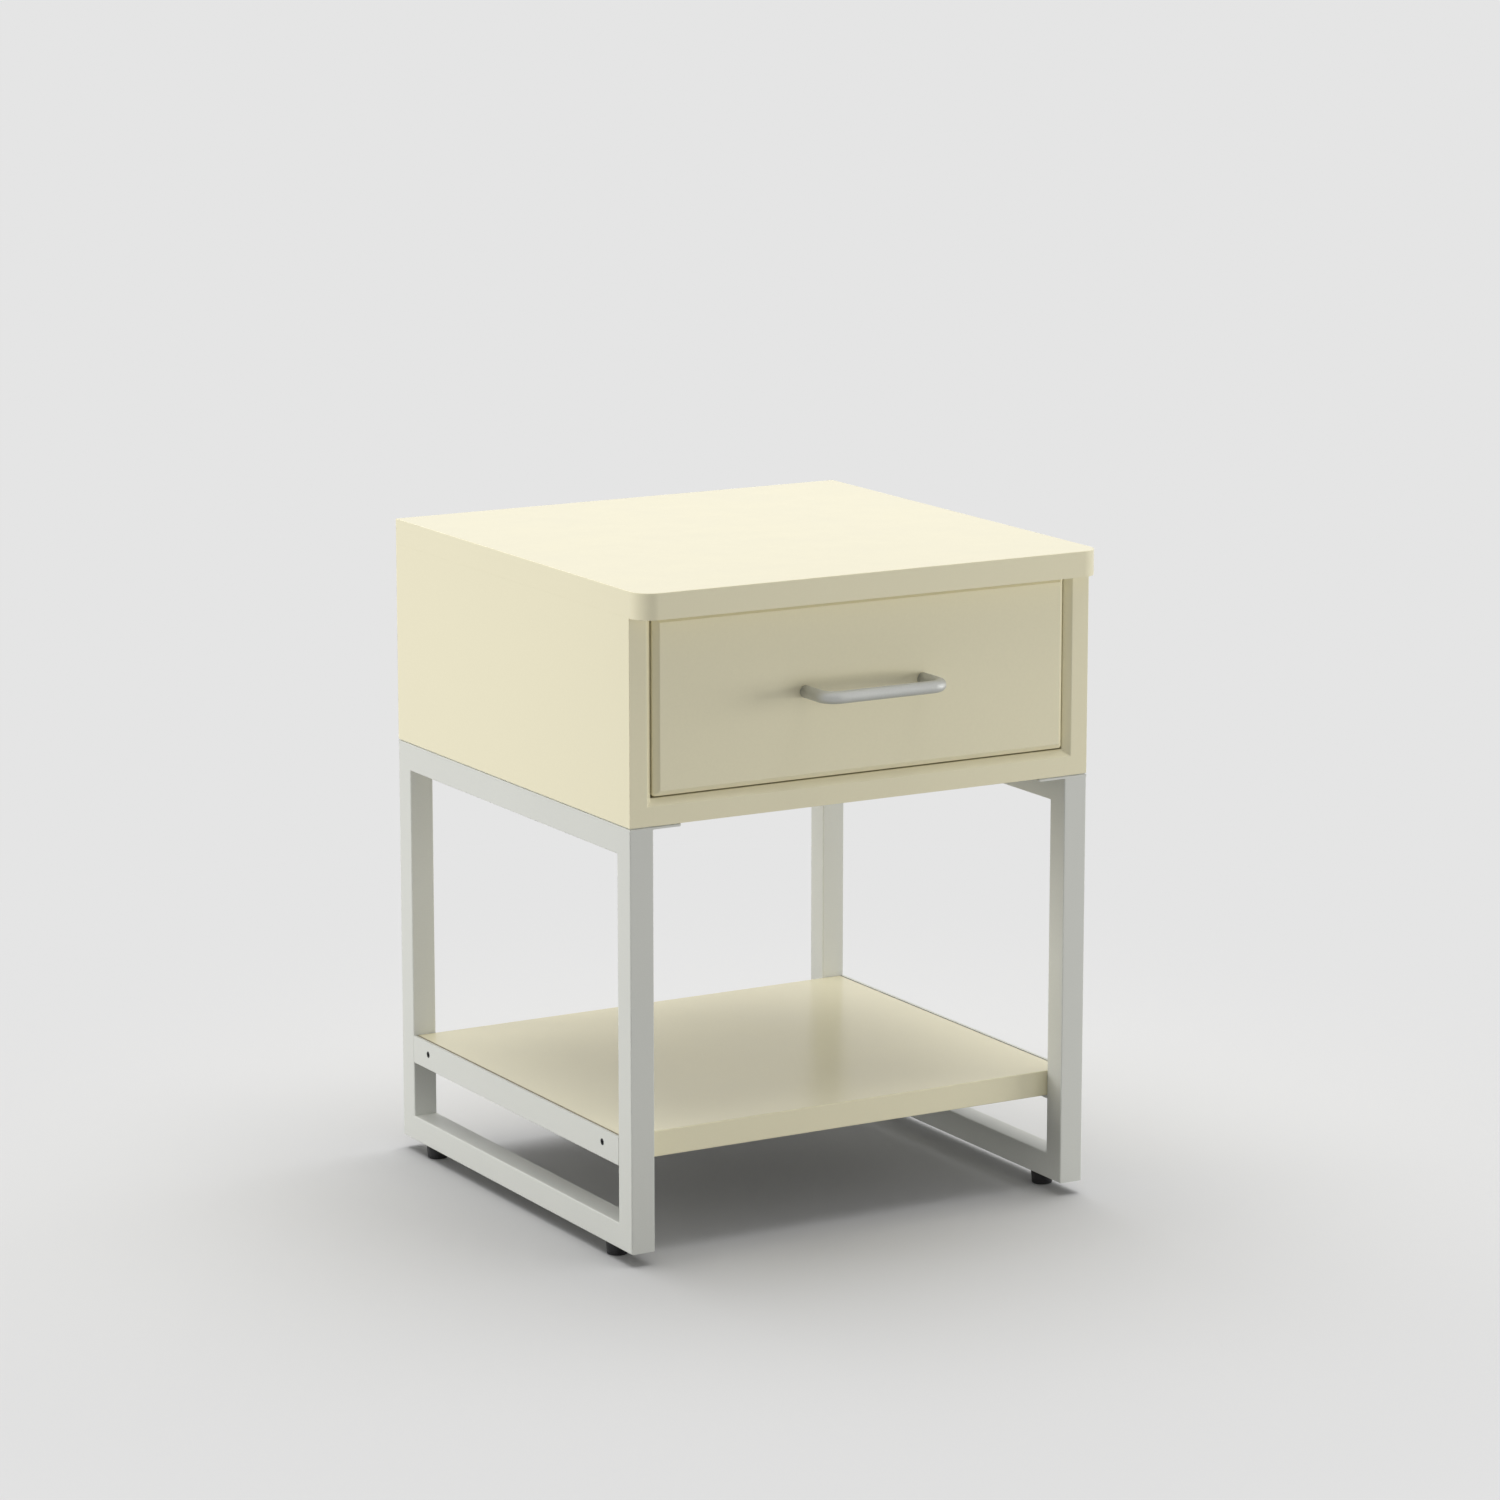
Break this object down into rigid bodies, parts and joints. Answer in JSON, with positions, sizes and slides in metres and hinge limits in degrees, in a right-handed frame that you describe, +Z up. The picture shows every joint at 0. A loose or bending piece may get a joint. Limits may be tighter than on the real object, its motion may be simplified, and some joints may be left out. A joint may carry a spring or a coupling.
{
  "type": "bedside cabinet",
  "caption": "Bedside cabinet: laminated case with a roller-runner drawer and bow handle, on two square-tube side frames with a low shelf and levelling feet.",
  "frame": {"origin": "on the floor, under the middle of the whole outline with the handle", "axes": "+X to the cabinet's right seen from the front, +Y towards the back, +Z up; the drawer opens towards -Y"},
  "size_m": [0.5, 0.525, 0.64],
  "materials": {
    "laminate": "satin laminate over board",
    "drawer_lining": "satin laminate over board",
    "beech": "plain wood",
    "frame_paint": "satin powder coat",
    "satin_steel": "satin",
    "zinc_steel": "zinc plated",
    "runner_paint": "satin powder coat",
    "black_steel": "black oxide",
    "nylon": "smooth",
    "foot_plastic": "fine grain"
  },
  "bodies": {
    "cabinet": {"top_panel": "laminate", "left_side_panel": "laminate", "right_side_panel": "laminate", "bottom_panel": "laminate", "back_panel": "drawer_lining", "back_panel_screws": "zinc_steel", "case_dowels": "beech", "cam_locks": "zinc_steel", "cam_bolts": "zinc_steel", "left_case_runner": "runner_paint", "right_case_runner": "runner_paint", "case_runner_screws": "zinc_steel", "case_roller_rivets": "zinc_steel", "left_front_leg": "frame_paint", "left_rear_leg": "frame_paint", "left_top_rail": "frame_paint", "left_bottom_rail": "frame_paint", "left_mounting_flange": "frame_paint", "left_shelf_angle": "frame_paint", "right_front_leg": "frame_paint", "right_rear_leg": "frame_paint", "right_top_rail": "frame_paint", "right_bottom_rail": "frame_paint", "right_mounting_flange": "frame_paint", "right_shelf_angle": "frame_paint", "flange_screws": "zinc_steel", "foot_weld_nuts": "zinc_steel", "shelf": "laminate", "shelf_screws": "black_steel"},
    "drawer": {"drawer_front": "laminate", "drawer_inner_front": "drawer_lining", "left_drawer_side": "drawer_lining", "right_drawer_side": "drawer_lining", "drawer_back": "drawer_lining", "drawer_bottom": "drawer_lining", "drawer_box_screws": "zinc_steel", "drawer_bottom_screws": "zinc_steel", "drawer_front_screws": "zinc_steel", "handle": "satin_steel", "handle_screws": "zinc_steel", "left_drawer_runner": "runner_paint", "right_drawer_runner": "runner_paint", "drawer_runner_screws": "zinc_steel", "drawer_roller_rivets": "zinc_steel"},
    "left_case_roller": {"left_case_roller": "nylon"},
    "left_drawer_roller": {"left_drawer_roller": "nylon"},
    "right_case_roller": {"right_case_roller": "nylon"},
    "right_drawer_roller": {"right_drawer_roller": "nylon"},
    "front_left_foot_pad": {"front_left_foot_pad": "foot_plastic"},
    "front_left_foot_stem": {"front_left_foot_stem": "zinc_steel"},
    "front_right_foot_pad": {"front_right_foot_pad": "foot_plastic"},
    "front_right_foot_stem": {"front_right_foot_stem": "zinc_steel"},
    "rear_left_foot_pad": {"rear_left_foot_pad": "foot_plastic"},
    "rear_left_foot_stem": {"rear_left_foot_stem": "zinc_steel"},
    "rear_right_foot_pad": {"rear_right_foot_pad": "foot_plastic"},
    "rear_right_foot_stem": {"rear_right_foot_stem": "zinc_steel"}
  },
  "joints": [
    {"name": "drawer_slide", "type": "slide", "parent": "cabinet", "child": "drawer", "axis": [0, -1, 0], "range_m": [0, 0.3]},
    {"name": "left_case_roller_turn", "type": "hinge", "parent": "cabinet", "child": "left_case_roller", "pos_m": [-0.2198, -0.1795, 0.4727], "axis": [1, 0, 0], "range_deg": [0, 1720]},
    {"name": "left_drawer_roller_turn", "type": "hinge", "parent": "drawer", "child": "left_drawer_roller", "pos_m": [-0.2177, 0.195, 0.4712], "axis": [1, 0, 0], "range_deg": [0, 1720]},
    {"name": "right_case_roller_turn", "type": "hinge", "parent": "cabinet", "child": "right_case_roller", "pos_m": [0.2198, -0.1795, 0.4727], "axis": [1, 0, 0], "range_deg": [0, 1720]},
    {"name": "right_drawer_roller_turn", "type": "hinge", "parent": "drawer", "child": "right_drawer_roller", "pos_m": [0.2177, 0.195, 0.4712], "axis": [1, 0, 0], "range_deg": [0, 1720]},
    {"name": "front_left_foot_rise", "type": "slide", "parent": "cabinet", "child": "front_left_foot_pad", "axis": [0, 0, -1], "range_m": [0, 0.012]},
    {"name": "front_left_foot_turn", "type": "hinge", "parent": "front_left_foot_pad", "child": "front_left_foot_stem", "pos_m": [-0.2375, -0.1645, 0.0185], "axis": [0, 0, -1], "range_deg": [0, 3460]},
    {"name": "front_right_foot_rise", "type": "slide", "parent": "cabinet", "child": "front_right_foot_pad", "axis": [0, 0, -1], "range_m": [0, 0.012]},
    {"name": "front_right_foot_turn", "type": "hinge", "parent": "front_right_foot_pad", "child": "front_right_foot_stem", "pos_m": [0.2375, -0.1645, 0.0185], "axis": [0, 0, -1], "range_deg": [0, 3460]},
    {"name": "rear_left_foot_rise", "type": "slide", "parent": "cabinet", "child": "rear_left_foot_pad", "axis": [0, 0, -1], "range_m": [0, 0.012]},
    {"name": "rear_left_foot_turn", "type": "hinge", "parent": "rear_left_foot_pad", "child": "rear_left_foot_stem", "pos_m": [-0.2375, 0.2115, 0.0185], "axis": [0, 0, -1], "range_deg": [0, 3460]},
    {"name": "rear_right_foot_rise", "type": "slide", "parent": "cabinet", "child": "rear_right_foot_pad", "axis": [0, 0, -1], "range_m": [0, 0.012]},
    {"name": "rear_right_foot_turn", "type": "hinge", "parent": "rear_right_foot_pad", "child": "rear_right_foot_stem", "pos_m": [0.2375, 0.2115, 0.0185], "axis": [0, 0, -1], "range_deg": [0, 3460]}
  ],
  "couplings": [
    {"joint": "left_case_roller_turn", "follows": "drawer_slide", "rad_per_m": 100},
    {"joint": "left_drawer_roller_turn", "follows": "drawer_slide", "rad_per_m": 100},
    {"joint": "right_case_roller_turn", "follows": "drawer_slide", "rad_per_m": 100},
    {"joint": "right_drawer_roller_turn", "follows": "drawer_slide", "rad_per_m": 100},
    {"joint": "front_left_foot_turn", "follows": "front_left_foot_rise", "rad_per_m": 5026.5},
    {"joint": "front_right_foot_turn", "follows": "front_right_foot_rise", "rad_per_m": 5026.5},
    {"joint": "rear_left_foot_turn", "follows": "rear_left_foot_rise", "rad_per_m": 5026.5},
    {"joint": "rear_right_foot_turn", "follows": "rear_right_foot_rise", "rad_per_m": 5026.5}
  ]
}
